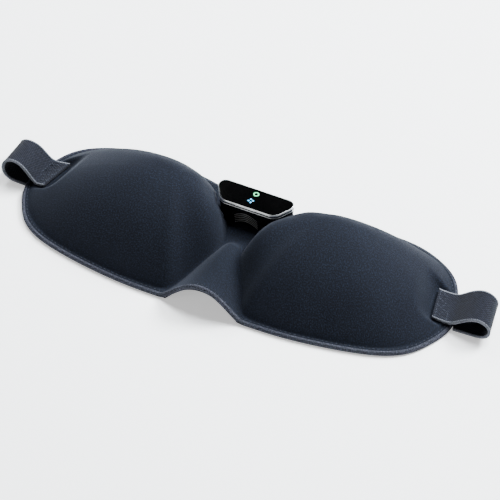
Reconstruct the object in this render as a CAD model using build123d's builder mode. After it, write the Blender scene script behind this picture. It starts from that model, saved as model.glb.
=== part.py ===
"""Contoured eye massager mask: two padded cups, a nose bridge and a lift-off control module.

Millimetres. The mask lies face down: +Z points away from the face, +Y to the brow, and X runs
across the face. Z = 0 is the face plane, X = 0 the symmetry plane, and left means -X.
"""
from math import atan2, cos, hypot, radians, sin
import os

from build123d import *

# ---- driving sizes ------------------------------------------------------------------------
rim_length = 230.0            # tip to tip over the two cups
rim_depth = 85.8              # brow edge to nose edge
rim_thickness = 2.5           # flattened edge of the two cloth layers
dome_height = 29.4            # crown of a cup above the rim
dome_crown = (40.0, 10.5)     # where the crown of the right cup stands
crown_cut = 0.985             # share of the dome height where its top is closed flat

cover_thickness = 1.6
liner_thickness = 1.2
heater_thickness = 0.5
binding_width = 1.6
flex_gap = 0.8                # open line between a cup and the bridge

crown_padding = 15.4          # from the crown down to the hollow before the eye
recess_depth = dome_height - crown_padding
recess_half_length = 27.0
recess_half_depth = 17.0
recess_centre = (54.0, 3.0)

vault_back = -10.0            # where the nose vault meets the deck
vault_half_width_back = 5.4
vault_half_width_front = 21.6
vault_side_back = 11.0
vault_crown_back = 14.6
vault_crown_front = 16.6
vault_wall = 3.4
vault_foot = 2.2

deck_back_height = 9.2        # cloth deck under the module

module_front_y = 9.5
module_back_y = 23.8
module_front_half_width = 14.8
module_back_half_width = 23.4
module_front_corner = 6.0
module_back_corner = 4.0
module_least_corner = 0.6     # smallest corner of an inner outline
module_base_z = 9.8
module_top_z = 24.2
module_wall = 1.2
module_lean = 1.55            # inset of the base against the top, all round
module_play = 0.8             # gap between the module and the cups
bezel_height = 1.0
bezel_width = 0.6
seam_z = 21.9                 # joint between the lower and the upper shell
seam_height = 0.4
seam_inset = 0.15             # seam band behind the shells' faces
skirt_wall = 0.5              # upper shell's thin wall round the key
key_gap = 0.12
key_thickness = 1.25
key_travel = 0.5
key_rest = key_travel + 0.1   # open height under the key's stem
key_stem_radius = 1.5
light_depth = 0.8
switch_width, switch_height = 3.4, 1.6
pin_length = 3.0
board_z = 17.4
board_thickness = 1.0
socket_width, socket_height, socket_depth = 9.0, 3.0, 5.5
socket_wall, socket_back, socket_tongue = 0.4, 0.6, 0.6
battery_width, battery_depth, battery_height = 12.0, 6.4, 3.0
magnet_radius, magnet_height, magnet_x = 2.0, 2.2, 9.5
screw_x, screw_radius, screw_head_radius, screw_head_height = 15.2, 0.8, 1.5, 0.7
pin_radius, pin_pitch, pin_count, pin_offset = 0.5, 2.2, 4, 3.4
grille_width, grille_height, grille_depth, grille_ribs = 13.0, 9.0, 0.6, 5
grille_x = -1.0
grille_foot = 0.4             # wall left under the grille

dock_inset = 2.6              # dock tray against the module's top outline
dock_height = 4.0
dock_edge = 0.6               # deck left between the tray and the cups

ring_place = (0.0, 20.0)
ring_outer_radius = 1.6
ring_inner_radius = 0.9
dots_place = (-0.5, 14.8)
dot_radius = 0.55
dot_pitch = 1.35
dot_count, dot_start_angle = 4, 20

motor_radius = 6.0
motor_height = 4.6
motor_skin = 0.4
motor_lid = 0.6
motor_post_radius = 0.6
motor_hub_radius = 1.6
motor_running_gap = 0.05
motor_places = ((38.0, 10.0, 8.4), (68.0, 7.0, 11.2))    # the third is the depth under a crown

strap_width = 19.0
strap_thickness = 1.4
strap_centre_y = 7.5
strap_pivot_x = 114.2         # where the webbing flexes over the rim
strap_sewn_x = 102.5          # inner end of the sewn tail
strap_root_z = 4.2
loop_clearance = 0.3
tongue_length = 2.2           # flat run of the loop beyond its pivot
return_place = (2.9, -2.8)    # where the loop comes back, from its pivot
eye_corner = (4.4, -0.9)      # inner corner of the loop's opening, from its pivot
loops = {"right": (127.8, 7.3, 6.1), "left": (120.1, 7.2, 6.4)}

os.makedirs("parts", exist_ok=True)


def save(piece, label):
    """Name a finished piece and write it."""
    piece.part.label = label
    export_step(piece.part, f"parts/{label}.step")


# ---- plan of the mask ---------------------------------------------------------------------
x_scale = rim_length / 230.0
y_scale = rim_depth / 85.8

rim_points = [
    (0, 34.5), (15, 35.7), (30, 38.8), (45, 41.6), (58, 42.8), (72, 42.2), (82, 39.8),
    (91, 36), (98, 31.8), (104, 25.8), (109, 17.5), (113.3, 8.5), (115, -0.8),
    (113.5, -8.5), (110.2, -16), (105, -24), (95, -31.4), (80, -36.5), (60, -40.4),
    (40, -42.6), (22, -43),
]
cup_points = [
    (28, -38.9), (45, -38.8), (60, -36.8), (78, -33.2), (92, -28.4), (102, -21.3),
    (108.5, -11.5), (110.8, -1), (109.2, 8.2), (105, 17), (100, 25), (93.5, 31.2),
    (84, 36), (68, 39), (54, 39.6), (42, 38.2), (32.5, 34.6), (24.6, 27.8), (17.2, 18.6),
    (11.6, 8.6), (8.0, 0), (7.2, -10), (11.8, -20), (17.4, -31),
]
crease_points = [
    (25.6, -51), (21.8, -43.2), (16, -31), (10.3, -20), (5.6, -10), (6.8, 0), (10.5, 9),
    (16, 19), (24, 29), (33, 38.5), (42, 48),
]


def scaled(points):
    """Plan points of the model mask, stretched to this mask's length and depth."""
    return [(x * x_scale, y * y_scale) for x, y in points]


def moved(points, amount):
    """A line of points moved sideways, to the right of its own direction."""
    result = []
    for index, (x, y) in enumerate(points):
        before = points[max(index - 1, 0)]
        after = points[min(index + 1, len(points) - 1)]
        run_x, run_y = after[0] - before[0], after[1] - before[1]
        share = amount / hypot(run_x, run_y)
        result.append((x + run_y * share, y - run_x * share))
    return result


def rim_outline(inset):
    """Both halves of the mask's outline, inset from its edge."""
    half_rim = moved(scaled(rim_points), inset)
    half_rim[0] = (0, half_rim[0][1])
    nose = (0, half_rim[-1][1])
    with BuildSketch() as outline:
        with BuildLine():
            Spline(*half_rim, tangents=[(1, 0), (-1, 0)])
            Line(half_rim[-1], nose)
            Line(nose, half_rim[0])
        make_face()
        mirror(about=Plane.YZ)
    return outline


def crease_band(growth):
    """Band between the two lines where the cups meet the bridge."""
    right_crease = moved(scaled(crease_points), growth)
    left_crease = [(-x, y) for x, y in right_crease]
    with BuildSketch() as band:
        with BuildLine():
            Spline(*right_crease)
            Line(right_crease[-1], left_crease[-1])
            Spline(*left_crease)
            Line(left_crease[0], right_crease[0])
        make_face()
    return band


plan = rim_outline(0)
inner_plan = rim_outline(binding_width)
bridge_band = crease_band(-flex_gap / 2)
cup_limit = crease_band(flex_gap / 2)

with BuildSketch() as edge_plan:
    add(plan.sketch)
    add(inner_plan.sketch, mode=Mode.SUBTRACT)


def bridge_area(outline):
    """The part of an outline that belongs to the bridge."""
    with BuildSketch() as area:
        add(outline.sketch)
        add(bridge_band.sketch, mode=Mode.INTERSECT)
    return area


def cup_area(outline):
    """The part of an outline that belongs to the right cup."""
    with BuildSketch() as area:
        add(outline.sketch)
        add(cup_limit.sketch, mode=Mode.SUBTRACT)
        with Locations((-rim_length / 2, 0)):
            Rectangle(rim_length, 2 * rim_depth, mode=Mode.SUBTRACT)
    return area


def slab(area, bottom, height):
    """A flat layer of cloth or foam."""
    with BuildPart() as layer:
        with BuildSketch(Plane.XY.offset(bottom)):
            add(area.sketch)
        extrude(amount=height)
    return layer


def twin(piece):
    """The same piece on the left side."""
    with BuildPart() as copy:
        mirror(piece.part, about=Plane.YZ)
    return copy


# ---- cups ---------------------------------------------------------------------------------
def dome_power(dx, dy):
    """How blunt the dome is in one direction: steep beside the nose, gentle to the brow."""
    angle = atan2(dy, dx)
    outer, brow = max(cos(angle), 0) ** 2, max(sin(angle), 0) ** 2
    inner, nose = max(-cos(angle), 0) ** 2, max(-sin(angle), 0) ** 2
    return 1.8 * outer + 1.7 * brow + 3.1 * inner + 2.2 * nose


def dome(inset, base_z):
    """Solid dome of the right cup, inset from the cloth's outer face."""
    centre_x, centre_y = dome_crown[0] * x_scale, dome_crown[1] * y_scale
    height = dome_height - inset
    with BuildPart() as body:
        for level in (0, 0.25, 0.5, 0.7, 0.85, 0.94, crown_cut):
            ring = []
            for x, y in scaled(cup_points):
                dx, dy = x - centre_x, y - centre_y
                reach = 1 - inset / hypot(dx, dy)
                share = reach * (1 - level) ** (1 / dome_power(dx, dy))
                ring.append((centre_x + dx * share, centre_y + dy * share))
            with BuildSketch(Plane.XY.offset(base_z + level * height)):
                with BuildLine():
                    Spline(*ring, periodic=True)
                make_face()
        loft()
    return body


def eye_hollow(growth):
    """Space in front of the eyelid, grown by a wall."""
    centre = (recess_centre[0] * x_scale, recess_centre[1] * y_scale)
    with BuildPart() as space:
        for level, share in ((-0.5, 1.0), (0.5, 0.9), (0.85, 0.66), (1.0, 0.4)):
            with BuildSketch(Plane.XY.offset(level * recess_depth + max(level, 0) * growth)):
                with Locations(centre):
                    Ellipse(
                        recess_half_length * share + growth, recess_half_depth * share + growth
                    )
        loft()
    return space


def module_outline(inset):
    """Rounded trapezoid of the control module."""
    front, back = module_front_y + inset, module_back_y - inset
    front_half = module_front_half_width - inset
    back_half = module_back_half_width - inset
    with BuildSketch() as outline:
        with BuildLine():
            Polyline(
                (-front_half, front), (front_half, front), (back_half, back),
                (-back_half, back), close=True,
            )
        make_face()
        fillet(
            outline.vertices().sort_by(Axis.Y)[:2],
            max(module_front_corner - inset, module_least_corner),
        )
        fillet(
            outline.vertices().sort_by(Axis.Y)[-2:],
            max(module_back_corner - inset, module_least_corner),
        )
    return outline


def module_bay(growth):
    """Room that the cups leave beside the module, grown by a layer."""
    outline = module_outline(-module_play - growth)
    with BuildPart() as bay:
        with BuildSketch(Plane.XY.offset(module_base_z - module_play - growth)):
            add(outline.sketch)
        extrude(amount=2 * dome_height)
    return bay


def strap_bed(growth):
    """Dimple where the sewn tail of the webbing presses into the cup."""
    start = (strap_sewn_x - 1) * x_scale - growth
    with BuildPart() as bed:
        with Locations((start, strap_centre_y * y_scale, tail_bottom() - growth)):
            Box(
                rim_length / 2 - start, strap_width + 2 * (loop_clearance + growth),
                dome_height, align=(Align.MIN, Align.CENTER, Align.MIN),
            )
    return bed


def tail_bottom():
    """Height of the webbing's underside where it is sewn down."""
    return strap_root_z - strap_thickness / 2


def motor_centre(place):
    """Middle of one vibration motor of the right cup."""
    return place[0] * x_scale, place[1] * y_scale, dome_height - place[2]


def motor_pocket(place):
    """Room for one vibration motor."""
    x, y, z = motor_centre(place)
    with BuildPart() as room:
        with Locations((x, y, z)):
            Cylinder(motor_radius, motor_height)
    return room


flange_bottom = liner_thickness
cup_inner = cup_area(inner_plan)
cup_edge = cup_area(edge_plan)
cup_top_cloth = slab(cup_inner, flange_bottom, rim_thickness - flange_bottom)
cup_face_cloth = slab(cup_inner, 0, liner_thickness)
dome_skin = dome(0, rim_thickness)
dome_core = dome(cover_thickness, flange_bottom)
hollow = eye_hollow(0)
hollow_liner = eye_hollow(liner_thickness)
hollow_heater = eye_hollow(liner_thickness + heater_thickness)
bay = module_bay(0)
bay_cloth = module_bay(cover_thickness)
bed = strap_bed(0)
bed_cloth = strap_bed(cover_thickness)
pockets = [motor_pocket(place) for place in motor_places]

with BuildPart() as right_cover:
    add(cup_top_cloth.part)
    add(dome_skin.part)
    add(dome_core.part, mode=Mode.SUBTRACT)
    add(bay.part, mode=Mode.SUBTRACT)
    add(bed.part, mode=Mode.SUBTRACT)

with BuildPart() as right_liner:
    add(cup_face_cloth.part)
    add(hollow_liner.part)
    add(hollow.part, mode=Mode.SUBTRACT)
    split(bisect_by=Plane.XY, keep=Keep.TOP)

with BuildPart() as right_heater:
    add(hollow_heater.part)
    add(hollow_liner.part, mode=Mode.SUBTRACT)
    split(bisect_by=Plane.XY.offset(flange_bottom), keep=Keep.TOP)

with BuildPart() as right_foam:
    add(dome_core.part)
    add(hollow_heater.part, mode=Mode.SUBTRACT)
    for pocket in pockets:
        add(pocket.part, mode=Mode.SUBTRACT)
    add(bay_cloth.part, mode=Mode.SUBTRACT)
    add(bed_cloth.part, mode=Mode.SUBTRACT)

right_binding = slab(cup_edge, 0, rim_thickness)

for piece, name in (
    (right_cover, "cover"), (right_liner, "liner"), (right_heater, "heater"),
    (right_foam, "foam"), (right_binding, "binding"),
):
    save(piece, f"right_{name}")
    save(twin(piece), f"left_{name}")


# ---- vibration motors ---------------------------------------------------------------------
def motor(place, side, seat):
    """Can with a fixed post, lid and half-disc weight that runs on the post."""
    x, y, z = motor_centre(place)
    if side == "left":
        x = -x
    floor = z - motor_height / 2
    lid_z = z + motor_height / 2 - motor_lid
    weight_radius = motor_radius - 2 * motor_skin
    with BuildPart() as can:
        with BuildSketch(Plane.XY.offset(floor)):
            with Locations((x, y)):
                Circle(motor_radius)
        extrude(amount=motor_height - motor_lid)
        with BuildSketch(Plane.XY.offset(floor + motor_skin)):
            with Locations((x, y)):
                Circle(motor_radius - motor_skin)
                Circle(motor_post_radius, mode=Mode.SUBTRACT)
        extrude(amount=motor_height, mode=Mode.SUBTRACT)
    with BuildPart() as lid:
        with BuildSketch(Plane.XY.offset(lid_z)):
            with Locations((x, y)):
                Circle(motor_radius)
        extrude(amount=motor_lid)
    with BuildPart() as weight:
        with BuildSketch(Plane.XY.offset(floor + 2 * motor_skin)):
            with Locations((x, y)):
                Circle(weight_radius)
            with Locations((x, y - weight_radius / 2)):
                Rectangle(2 * weight_radius, weight_radius, mode=Mode.SUBTRACT)
            with Locations((x, y)):
                Circle(motor_hub_radius)
                Circle(motor_post_radius + motor_running_gap, mode=Mode.SUBTRACT)
        extrude(amount=lid_z - floor - 3 * motor_skin)
    save(can, f"{side}_{seat}_motor_can")
    save(lid, f"{side}_{seat}_motor_lid")
    save(weight, f"{side}_{seat}_motor_weight")


for side in ("left", "right"):
    for place, seat in zip(motor_places, ("inner", "outer")):
        motor(place, side, seat)


# ---- webbing ------------------------------------------------------------------------------
strap_plane = Plane.XZ.offset(-strap_centre_y * y_scale - strap_width / 2)


def strap_tail():
    """Right sewn tail of the webbing, lying in its dimple."""
    start = strap_sewn_x * x_scale
    end = strap_pivot_x * x_scale - strap_thickness / 2 - loop_clearance
    with BuildPart() as tail:
        with BuildSketch(strap_plane):
            with Locations(((start + end) / 2, strap_root_z)):
                Rectangle(end - start, strap_thickness)
        extrude(amount=strap_width)
    return tail


def strap_loop(centre_x, centre_z, radius):
    """Right loop of webbing: a tongue over the rim and a drop-shaped band."""
    pivot_x = strap_pivot_x * x_scale
    centre = (centre_x + pivot_x - strap_pivot_x, centre_z)
    back = (pivot_x + return_place[0], strap_root_z + return_place[1])
    half = strap_thickness / 2
    with BuildPart() as band:
        with BuildSketch():
            with Locations((pivot_x + tongue_length, strap_root_z), back):
                Circle(half)
            with Locations(centre):
                Circle(radius)
            make_hull()
            with Locations((pivot_x + tongue_length / 2, strap_root_z)):
                Rectangle(tongue_length, strap_thickness)
            with Locations((pivot_x, strap_root_z)):
                Circle(half)
        extrude(amount=strap_width)
        with BuildSketch():
            with Locations((pivot_x + eye_corner[0], strap_root_z + eye_corner[1])):
                Circle(half / 2)
            with Locations(centre):
                Circle(radius - strap_thickness)
            make_hull()
        extrude(amount=strap_width, mode=Mode.SUBTRACT)
    with BuildPart() as loop:
        add(strap_plane * band.part)
    return loop


right_tail = strap_tail()
save(right_tail, "right_strap_tail")
save(twin(right_tail), "left_strap_tail")
save(strap_loop(*loops["right"]), "right_strap_loop")
save(twin(strap_loop(*loops["left"])), "left_strap_loop")


# ---- bridge -------------------------------------------------------------------------------
vault_front = rim_points[-1][1] * y_scale


def vault_at(y):
    """Half width, side height and crown height of the nose vault at one depth."""
    back = vault_back * y_scale
    share = (back - y) / (back - vault_front)
    half = vault_half_width_back + share * (vault_half_width_front - vault_half_width_back)
    side = vault_side_back + share * (rim_thickness - vault_side_back)
    crown = vault_crown_back + share * (vault_crown_front - vault_crown_back)
    return half * x_scale - flex_gap / 2, side, crown


def arch(half, foot, crown, power):
    """Points of an arch from its left foot to its right foot."""
    shares = [step / 4 for step in range(-4, 5)]
    return [(u * half, foot + (crown - foot) * (1 - u * u) ** power) for u in shares]


def vault_face(y, wall):
    """Cross-section of the vault's cloth and foam at one depth."""
    half, side, crown = vault_at(y)
    inner = half - vault_foot
    with BuildSketch(Plane.XZ.offset(-y)) as face:
        with BuildLine():
            Spline(*arch(half, side, crown, 1.5))
            Polyline((half, side), (half, 0), (inner, 0))
            Spline(*arch(inner, 0, crown - wall, 1))
            Polyline((-inner, 0), (-half, 0), (-half, side))
        make_face()
    return face


def tunnel_face(y, cloth):
    """Cross-section of the cloth that lines the nose tunnel."""
    half, side, crown = vault_at(y)
    outer = half - vault_foot
    top = crown - vault_wall
    with BuildSketch(Plane.XZ.offset(-y)) as face:
        with BuildLine():
            Spline(*arch(outer, 0, top, 1))
            Line((outer, 0), (outer - cloth, 0))
            Spline(*arch(outer - cloth, 0, top - cloth, 1))
            Line((cloth - outer, 0), (-outer, 0))
        make_face()
    return face


def lofted(front, back):
    """Straight-sided body between two cross-sections."""
    with BuildPart() as body:
        add(front.sketch)
        add(back.sketch)
        loft(ruled=True)
    return body


vault_back_y = vault_back * y_scale
vault_trim_y = vault_front + binding_width
nose_vault = lofted(vault_face(vault_trim_y, vault_wall), vault_face(vault_back_y, vault_wall))
nose_binding = lofted(vault_face(vault_front, vault_wall), vault_face(vault_trim_y, vault_wall))
nose_liner = lofted(
    tunnel_face(vault_trim_y, liner_thickness), tunnel_face(vault_back_y, liner_thickness)
)

with BuildSketch() as deck_plan:
    add(bridge_area(inner_plan).sketch)
    with Locations((0, vault_back_y)):
        Rectangle(
            rim_length, rim_depth, align=(Align.CENTER, Align.MAX), mode=Mode.SUBTRACT
        )

with BuildSketch() as brow_edge:
    add(bridge_area(edge_plan).sketch)
    Rectangle(rim_length, rim_depth, align=(Align.CENTER, Align.MAX), mode=Mode.SUBTRACT)

deck_block = slab(deck_plan, liner_thickness, dome_height)
with BuildSketch() as dock_outline:
    add(module_outline(dock_inset).sketch)
    add(crease_band(-flex_gap / 2 - dock_edge).sketch, mode=Mode.INTERSECT)
dock_floor = module_base_z - dock_height
brow_y = rim_points[0][1] * y_scale
deck_line = [
    (vault_back_y, vault_side_back), (0, 10.2), (module_front_y - 2, deck_back_height),
    (module_front_y + 8, deck_back_height - 0.4), (module_back_y - 1, 7.4), (30 * y_scale, 4),
    (brow_y, rim_thickness),
]

with BuildPart() as bridge_deck:
    with BuildSketch(Plane.YZ):
        with BuildLine():
            Spline(*deck_line)
            Polyline(deck_line[-1], (brow_y, 0), (vault_back_y, 0), deck_line[0])
        make_face()
    extrude(amount=rim_length / 4, both=True)
    add(deck_block.part, mode=Mode.INTERSECT)
    with BuildSketch(Plane.XY.offset(dock_floor)):
        add(dock_outline.sketch)
    extrude(amount=dome_height, mode=Mode.SUBTRACT)

bridge_liner = slab(deck_plan, 0, liner_thickness)
brow_binding = slab(brow_edge, 0, rim_thickness)

save(nose_vault, "nose_vault")
save(nose_liner, "nose_liner")
save(nose_binding, "nose_binding")
save(bridge_deck, "bridge_deck")
save(bridge_liner, "bridge_liner")
save(brow_binding, "brow_binding")


# ---- control module -----------------------------------------------------------------------
module_body_top = module_top_z - bezel_height
lean_rate = module_lean / (module_body_top - module_base_z)


def module_inset(z):
    """How far the module's side wall stands inside its top outline at one height."""
    return (module_body_top - z) * lean_rate


def module_block(bottom, top, wall):
    """Slice of the module between two heights, inset by a wall."""
    faces = []
    for z in (bottom, top):
        outline = module_outline(module_inset(z) + wall)
        with BuildSketch(Plane.XY.offset(z)) as face:
            add(outline.sketch)
        faces.append(face)
    with BuildPart() as block:
        for face in faces:
            add(face.sketch)
        loft()
    return block


def upright(outline, bottom, height):
    """Straight prism of an outline."""
    with BuildPart() as prism:
        with BuildSketch(Plane.XY.offset(bottom)):
            add(outline.sketch)
        extrude(amount=height)
    return prism


def pins(places, radius, bottom, height):
    """Identical round pins in one node."""
    with BuildPart() as group:
        with BuildSketch(Plane.XY.offset(bottom)):
            with Locations(*places):
                Circle(radius)
        extrude(amount=height)
    return group


def box(centre_x, centre_y, bottom, width, depth, height):
    """Upright box on a given floor."""
    with BuildPart() as body:
        with Locations((centre_x, centre_y, bottom)):
            Box(width, depth, height, align=(Align.CENTER, Align.CENTER, Align.MIN))
    return body


floor_z = module_base_z + module_wall
middle_y = (module_front_y + module_back_y) / 2
screw_places = [(-screw_x, middle_y + 2.2), (screw_x, middle_y + 2.2)]
magnet_places = [(-magnet_x, middle_y), (magnet_x, middle_y)]
pin_start = -pin_pitch * (pin_count - 1) / 2
pin_places = [(pin_start + step * pin_pitch, middle_y + pin_offset) for step in range(pin_count)]
socket_z = board_z - socket_height
back_wall_y = module_back_y - module_inset(socket_z)
face_angle = radians(90) - atan2(module_body_top - module_base_z, module_lean)
grille_z = module_base_z + grille_foot + grille_height / 2
grille_plane = Plane(
    origin=(grille_x, module_front_y + module_inset(grille_z), grille_z),
    x_dir=(1, 0, 0),
    z_dir=(0, -cos(face_angle), -sin(face_angle)),
)

lower_block = module_block(module_base_z, seam_z, 0)
lower_room = module_block(floor_z, seam_z + 0.01, module_wall)
socket_cut = box(
    0, back_wall_y, socket_z, socket_width, 2 * socket_depth, socket_height
)

with BuildPart() as module_lower_shell:
    add(lower_block.part)
    add(lower_room.part, mode=Mode.SUBTRACT)
    with BuildSketch(Plane.XY.offset(floor_z)):
        with Locations(*screw_places):
            Circle(screw_head_radius)
    extrude(amount=board_z - floor_z)
    with BuildSketch(Plane.XY.offset(module_base_z)):
        with Locations(*screw_places):
            Circle(screw_radius)
    extrude(amount=board_z - module_base_z, mode=Mode.SUBTRACT)
    with BuildSketch(Plane.XY.offset(module_base_z)):
        with Locations(*screw_places):
            Circle(screw_head_radius)
    extrude(amount=screw_head_height, mode=Mode.SUBTRACT)
    with BuildSketch(Plane.XY.offset(module_base_z)):
        with Locations(*pin_places):
            Circle(pin_radius)
    extrude(amount=module_wall, mode=Mode.SUBTRACT)
    add(socket_cut.part, mode=Mode.SUBTRACT)
    with BuildSketch(grille_plane):
        Rectangle(grille_width, grille_height)
    extrude(amount=-grille_depth, mode=Mode.SUBTRACT)

with BuildPart() as module_grille:
    with BuildSketch(grille_plane.offset(-grille_depth)):
        Rectangle(grille_width, grille_height)
    extrude(amount=grille_depth / 2)
    with BuildSketch(grille_plane.offset(-grille_depth / 2)):
        with GridLocations(0, grille_height / grille_ribs, 1, grille_ribs):
            Rectangle(grille_width - 1, grille_height / grille_ribs / 2)
    extrude(amount=grille_depth / 2)

frame_block = module_block(seam_z + seam_height, module_body_top, 0)
frame_room = module_block(seam_z + seam_height, module_body_top, skirt_wall)
seam_block = module_block(seam_z, seam_z + seam_height, seam_inset)
seam_room = module_block(seam_z, seam_z + seam_height, module_wall)
bezel_outline = module_outline(0)
bezel_room = module_outline(bezel_width)
key_outline = module_outline(bezel_width + key_gap)
board_outline = module_outline(module_inset(board_z) + module_wall + 0.1)
key_bottom = module_top_z - key_thickness

with BuildPart() as module_upper_shell:
    add(frame_block.part)
    add(frame_room.part, mode=Mode.SUBTRACT)

with BuildPart() as module_seam_band:
    add(seam_block.part)
    add(seam_room.part, mode=Mode.SUBTRACT)

with BuildPart() as module_bezel:
    with BuildSketch(Plane.XY.offset(module_body_top)):
        add(bezel_outline.sketch)
        add(bezel_room.sketch, mode=Mode.SUBTRACT)
    extrude(amount=bezel_height)

with BuildPart() as key_plate:
    with BuildSketch(Plane.XY.offset(key_bottom)):
        add(key_outline.sketch)
    extrude(amount=key_thickness)
    with BuildSketch(Plane.XY.offset(module_top_z - light_depth)):
        with Locations(ring_place):
            Circle(ring_outer_radius)
            Circle(ring_inner_radius, mode=Mode.SUBTRACT)
        with Locations(dots_place):
            with PolarLocations(dot_pitch, dot_count, dot_start_angle):
                Circle(dot_radius)
    extrude(amount=light_depth, mode=Mode.SUBTRACT)
    with BuildSketch(Plane.XY.offset(key_bottom)):
        with Locations((0, middle_y)):
            Circle(key_stem_radius)
    extrude(amount=-(key_bottom - board_z - board_thickness - switch_height - key_rest))

with BuildPart() as ring_light:
    with BuildSketch(Plane.XY.offset(module_top_z - light_depth)):
        with Locations(ring_place):
            Circle(ring_outer_radius)
            Circle(ring_inner_radius, mode=Mode.SUBTRACT)
    extrude(amount=light_depth)

with BuildPart() as dot_lights:
    with BuildSketch(Plane.XY.offset(module_top_z - light_depth)):
        with Locations(dots_place):
            with PolarLocations(dot_pitch, dot_count, dot_start_angle):
                Circle(dot_radius)
    extrude(amount=light_depth)

with BuildPart() as module_screws:
    with BuildSketch(Plane.XY.offset(module_base_z)):
        with Locations(*screw_places):
            Circle(screw_head_radius)
    extrude(amount=screw_head_height)
    with BuildSketch(Plane.XY.offset(module_base_z + screw_head_height)):
        with Locations(*screw_places):
            Circle(screw_radius)
    extrude(amount=board_z - module_base_z - screw_head_height)

with BuildPart() as charging_socket:
    with BuildSketch(Plane.XZ.offset(-back_wall_y)):
        with Locations((0, socket_z + socket_height / 2)):
            RectangleRounded(socket_width, socket_height, socket_height / 2 - 0.05)
            RectangleRounded(
                socket_width - 2 * socket_wall, socket_height - 2 * socket_wall,
                socket_height / 2 - 0.1 - socket_wall,
                mode=Mode.SUBTRACT,
            )
    extrude(amount=socket_depth)
    with BuildSketch(Plane.XZ.offset(socket_depth - back_wall_y)):
        with Locations((0, socket_z + socket_height / 2)):
            Rectangle(socket_width - socket_height, socket_height - 0.6)
    extrude(amount=-socket_back)
    with BuildSketch(Plane.XZ.offset(socket_depth - back_wall_y)):
        with Locations((0, socket_z + socket_height / 2)):
            Rectangle(socket_width - socket_height, socket_tongue)
    extrude(amount=-(socket_depth - 1))

circuit_board = upright(board_outline, board_z, board_thickness)
battery = box(0, middle_y - 1.2, floor_z, battery_width, battery_depth, battery_height)
switch_place = (0, middle_y)
key_switch = box(
    *switch_place, board_z + board_thickness, switch_width, switch_width, switch_height
)
module_magnets = pins(magnet_places, magnet_radius, floor_z, magnet_height)
module_contacts = pins(pin_places, pin_radius, module_base_z, module_wall)

dock_block = upright(dock_outline, dock_floor, dock_height)
dock_magnets = pins(magnet_places, magnet_radius, module_base_z - magnet_height, magnet_height)
dock_pins = pins(pin_places, pin_radius, module_base_z - pin_length, pin_length)

with BuildPart() as dock_tray:
    add(dock_block.part)
    add(dock_magnets.part, mode=Mode.SUBTRACT)
    add(dock_pins.part, mode=Mode.SUBTRACT)

for piece, name in (
    (module_lower_shell, "module_lower_shell"), (module_seam_band, "module_seam_band"),
    (module_upper_shell, "module_upper_shell"), (module_bezel, "module_bezel"),
    (module_grille, "module_grille"), (module_screws, "module_screws"),
    (module_magnets, "module_magnets"), (module_contacts, "module_contacts"),
    (charging_socket, "charging_socket"), (circuit_board, "circuit_board"),
    (battery, "battery"), (key_switch, "key_switch"), (key_plate, "key_plate"),
    (ring_light, "ring_light"), (dot_lights, "dot_lights"), (dock_tray, "dock_tray"),
    (dock_magnets, "dock_magnets"), (dock_pins, "dock_pins"),
):
    save(piece, name)
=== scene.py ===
"""Contoured eye massager mask: knit cups, nose bridge, webbing loops and lift-off control module.

Metres in Blender; the plan and profile sizes below are in millimetres and go through MM.
"""
import math

import bmesh
import bpy
import numpy as np
from mathutils import Matrix, Vector


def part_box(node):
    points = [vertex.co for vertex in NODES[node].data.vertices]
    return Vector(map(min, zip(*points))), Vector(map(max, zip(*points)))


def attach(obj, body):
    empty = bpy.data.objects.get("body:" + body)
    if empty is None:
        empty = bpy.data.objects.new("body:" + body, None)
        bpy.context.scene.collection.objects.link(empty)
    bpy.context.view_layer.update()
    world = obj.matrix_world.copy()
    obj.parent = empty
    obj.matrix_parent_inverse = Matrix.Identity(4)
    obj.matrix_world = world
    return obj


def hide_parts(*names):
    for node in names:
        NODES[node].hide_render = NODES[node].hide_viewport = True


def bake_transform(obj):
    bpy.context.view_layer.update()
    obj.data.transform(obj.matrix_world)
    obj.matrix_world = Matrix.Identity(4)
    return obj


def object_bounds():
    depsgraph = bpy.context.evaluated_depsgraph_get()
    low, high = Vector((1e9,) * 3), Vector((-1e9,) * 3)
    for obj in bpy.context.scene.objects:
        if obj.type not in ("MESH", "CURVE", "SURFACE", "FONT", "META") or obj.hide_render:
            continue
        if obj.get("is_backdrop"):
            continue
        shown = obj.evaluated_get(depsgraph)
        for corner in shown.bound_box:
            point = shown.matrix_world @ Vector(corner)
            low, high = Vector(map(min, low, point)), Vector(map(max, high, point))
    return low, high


bl_info = {
    "name": "Eye Massager Mask",
    "version": (1, 0, 0),
    "blender": (4, 5, 0),
    "location": "View3D > Sidebar > Mask",
    "description": "Builds a contoured eye massager mask, its control module and the stage",
    "category": "Object",
}

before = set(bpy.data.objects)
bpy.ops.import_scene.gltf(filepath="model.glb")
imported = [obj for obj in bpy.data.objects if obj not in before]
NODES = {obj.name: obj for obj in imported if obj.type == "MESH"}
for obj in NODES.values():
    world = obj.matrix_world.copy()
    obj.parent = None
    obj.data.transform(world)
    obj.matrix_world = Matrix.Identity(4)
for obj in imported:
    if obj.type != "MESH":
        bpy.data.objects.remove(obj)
CAD_BOX = [list(corner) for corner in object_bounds()]
MM = 0.001

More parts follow.
